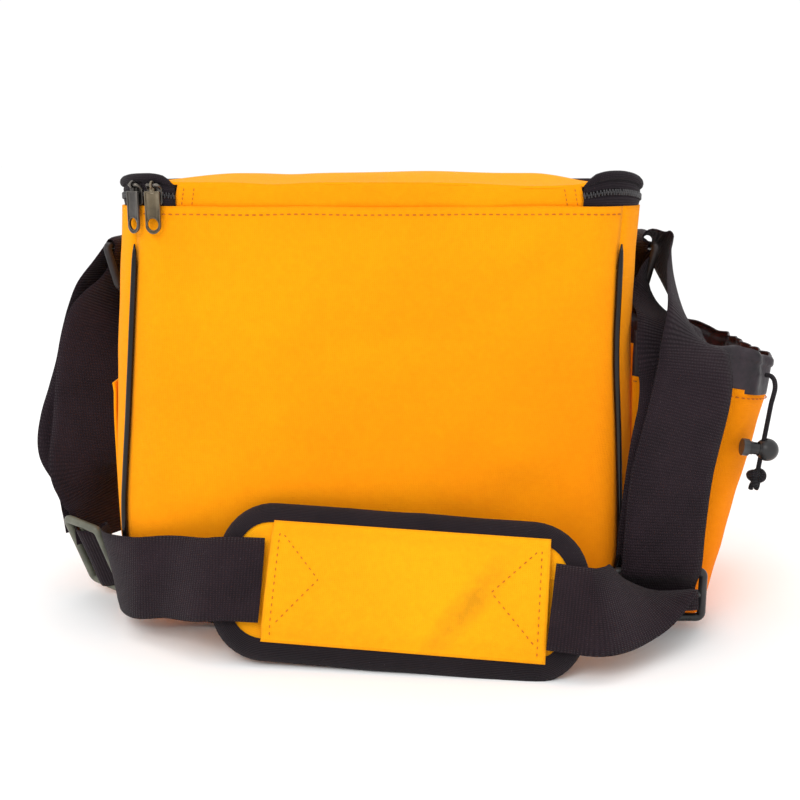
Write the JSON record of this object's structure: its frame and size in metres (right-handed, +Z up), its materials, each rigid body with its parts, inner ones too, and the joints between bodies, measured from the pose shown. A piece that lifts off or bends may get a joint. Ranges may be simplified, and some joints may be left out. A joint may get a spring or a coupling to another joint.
{
  "type": "padded shoulder bag",
  "caption": "Upright orange canvas shoulder bag with a zipped hinged lid, a drawstring bottle pocket on its side and a padded webbing strap.",
  "frame": {"origin": "middle of the bag's flat underside", "axes": "+X along the wide faces towards the bottle pocket, +Z up, the lid's hinge on the -Y face"},
  "size_m": [0.4918, 0.263, 0.2789],
  "materials": {
    "canvas": "matte woven",
    "piping": "glossy",
    "foam": "matte",
    "board": "matte",
    "lining": "satin coated",
    "tape": "woven",
    "zip_teeth": "satin",
    "slider_metal": "satin",
    "pull_metal": "satin, worn edges",
    "nylon": "smooth nylon",
    "cord": "braided",
    "black_plastic": "satin",
    "grey_plastic": "satin",
    "spring_steel": "bright",
    "webbing": "ribbed"
  },
  "bodies": {
    "root": {"hinge_side_panel": "canvas", "zip_side_panel": "canvas", "gusset": "canvas", "hinge_strip": "canvas", "slip_pocket": "canvas", "slip_pocket_hem": "canvas", "bottle_pocket": "canvas", "bottle_pocket_base": "canvas", "shoulder_pad": "canvas", "pad_sleeve": "canvas", "front_piping": "piping", "back_piping": "piping", "wall_foam": "foam", "pad_foam": "foam", "base_board": "board", "lining": "lining", "lower_zip_tape": "tape", "zip_corner_left": "tape", "zip_end_left": "tape", "zip_end_right": "tape", "pad_binding": "tape", "lower_zip_teeth": "zip_teeth", "pocket_collar": "nylon", "drawcord": "cord", "cord_knot": "cord", "ring_left": "black_plastic", "ring_right": "black_plastic", "triglide_right": "black_plastic", "triglide_left": "grey_plastic", "ring_tab_left": "webbing", "ring_tab_right": "webbing", "strap_front_left": "webbing", "strap_outer_left": "webbing", "strap_inner_left": "webbing", "strap_front_right": "webbing", "strap_outer_right": "webbing", "strap_inner_right": "webbing"},
    "lid": {"lid_panel": "canvas", "lid_foam": "foam", "lid_lining": "lining", "lid_binding": "tape", "upper_zip_tape": "tape", "upper_zip_teeth": "zip_teeth"},
    "slider_a": {"slider_a": "slider_metal"},
    "slider_b": {"slider_b": "slider_metal"},
    "pull_a": {"pull_a": "pull_metal"},
    "pull_b": {"pull_b": "pull_metal"},
    "cord_lock": {"cord_lock_body": "black_plastic", "cord_lock_spring": "spring_steel"},
    "cord_lock_button": {"cord_lock_button": "black_plastic"}
  },
  "joints": [
    {"name": "lid_hinge", "type": "hinge", "parent": "root", "child": "lid", "pos_m": [0, -0.0895, 0.2772], "axis": [1, 0, 0], "range_deg": [0, 110]},
    {"name": "slider_b_travel", "type": "hinge", "parent": "root", "child": "slider_b", "pos_m": [-0.125, -0.06, 0.27], "axis": [0, 0, -1], "range_deg": [0, 40]},
    {"name": "slider_a_travel", "type": "hinge", "parent": "root", "child": "slider_a", "pos_m": [-0.125, -0.06, 0.27], "axis": [0, 0, -1], "range_deg": [0, 40]},
    {"name": "pull_a_swing", "type": "hinge", "parent": "slider_a", "child": "pull_a", "pos_m": [-0.13275, -0.09228, 0.2765], "axis": [-0.9724, 0.2334, 0], "range_deg": [0, 120]},
    {"name": "pull_b_swing", "type": "hinge", "parent": "slider_b", "child": "pull_b", "pos_m": [-0.14544, -0.08616, 0.2765], "axis": [-0.788, 0.6157, 0], "range_deg": [0, 120]},
    {"name": "cord_lock_slide", "type": "slide", "parent": "root", "child": "cord_lock", "axis": [0.124, 0, 0.9923], "range_m": [0, 0.022]},
    {"name": "cord_lock_press", "type": "slide", "parent": "cord_lock", "child": "cord_lock_button", "axis": [0.9923, 0, -0.124], "range_m": [0, 0.004], "stiffness_N_per_m": 200, "springref_m": -0.004}
  ],
  "couplings": [
    {"joint": "slider_a_travel", "follows": "slider_b_travel", "ratio": 1}
  ]
}
